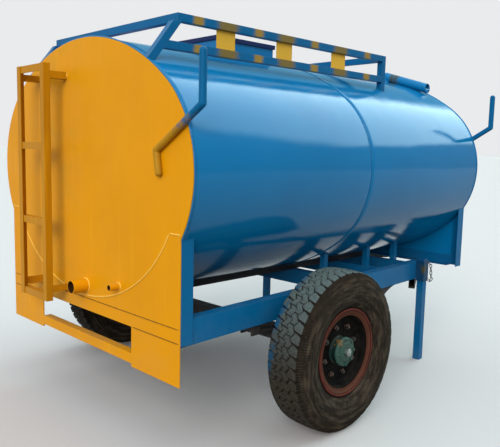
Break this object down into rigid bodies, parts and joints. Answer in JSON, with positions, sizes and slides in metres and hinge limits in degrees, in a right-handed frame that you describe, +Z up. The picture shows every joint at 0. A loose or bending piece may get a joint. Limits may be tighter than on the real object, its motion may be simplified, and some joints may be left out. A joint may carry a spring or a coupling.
{
  "type": "water tank trailer",
  "caption": "Oval water tank on a wheeled drawbar chassis, with a rear ladder, a roof rack, a hinged filling hatch, outlet pipes, hose hooks and sliding parking legs.",
  "frame": {"origin": "on the ground, in the middle of the trailer's overall length and width", "axes": "+X forward to the tow eye, +Y to the trailer's left, +Z up"},
  "size_m": [3.994, 2.321, 2.217],
  "materials": {
    "tank_blue": "gloss",
    "yellow_paint": "satin",
    "navy_paint": "satin",
    "dark_paint": "satin",
    "bright_steel": "satin",
    "rim_red": "matte",
    "hub_green": "satin",
    "tyre": "matte"
  },
  "bodies": {
    "trailer": {"axle_beam": "dark_paint", "chassis_rail_left": "tank_blue", "chassis_rail_right": "tank_blue", "cross_members": "tank_blue", "drain_pipe": "yellow_paint", "drawbar_arms": "dark_paint", "front_bottom_angle": "tank_blue", "front_corner_posts": "tank_blue", "front_end_plate": "tank_blue", "hatch_hinges": "navy_paint", "hatch_neck": "tank_blue", "hose_hook_front": "tank_blue", "hose_hook_rear": "yellow_paint", "ladder_brackets": "yellow_paint", "ladder_rungs": "yellow_paint", "ladder_stiles": "yellow_paint", "leaf_spring_left": "dark_paint", "leaf_spring_right": "dark_paint", "leg_pins": "bright_steel", "leg_sleeves": "tank_blue", "outlet_pipe": "yellow_paint", "overflow_pipe": "tank_blue", "rack_cross_bars": "tank_blue", "rack_low_rails": "tank_blue", "rack_plates": "yellow_paint", "rack_posts": "tank_blue", "rack_top_rails": "tank_blue", "rail_gussets": "dark_paint", "rear_corner_plates": "yellow_paint", "rear_corner_posts": "tank_blue", "rear_end_plate": "yellow_paint", "rear_skirt_bar": "yellow_paint", "rear_skirt_strip": "yellow_paint", "spring_clamps": "dark_paint", "spring_hangers": "dark_paint", "tank_bearers": "dark_paint", "tank_shell_front": "tank_blue", "tank_shell_rear": "tank_blue", "tank_supports": "tank_blue", "tow_eye": "dark_paint"},
    "wheel_left": {"tyre_left": "tyre", "rim_left": "rim_red", "hub_left": "hub_green"},
    "wheel_right": {"tyre_right": "tyre", "rim_right": "rim_red", "hub_right": "hub_green"},
    "leg_left": {"leg_left": "tank_blue"},
    "leg_right": {"leg_right": "tank_blue"},
    "hatch_lid": {"hatch_lid": "navy_paint"}
  },
  "joints": [
    {"name": "wheel_left_spin", "type": "hinge", "parent": "trailer", "child": "wheel_left", "pos_m": [-0.879, 1.033, 0.45], "axis": [0, 1, 0], "continuous": true},
    {"name": "wheel_right_spin", "type": "hinge", "parent": "trailer", "child": "wheel_right", "pos_m": [-0.879, -1.033, 0.45], "axis": [0, 1, 0], "continuous": true},
    {"name": "leg_left_slide", "type": "slide", "parent": "trailer", "child": "leg_left", "axis": [0, 0, 1], "range_m": [0, 0.22]},
    {"name": "leg_right_slide", "type": "slide", "parent": "trailer", "child": "leg_right", "axis": [0, 0, 1], "range_m": [0, 0.22]},
    {"name": "hatch_lid_hinge", "type": "hinge", "parent": "trailer", "child": "hatch_lid", "pos_m": [-0.838, 0.274, 2.206], "axis": [-1, 0, 0], "range_deg": [0, 110]}
  ]
}
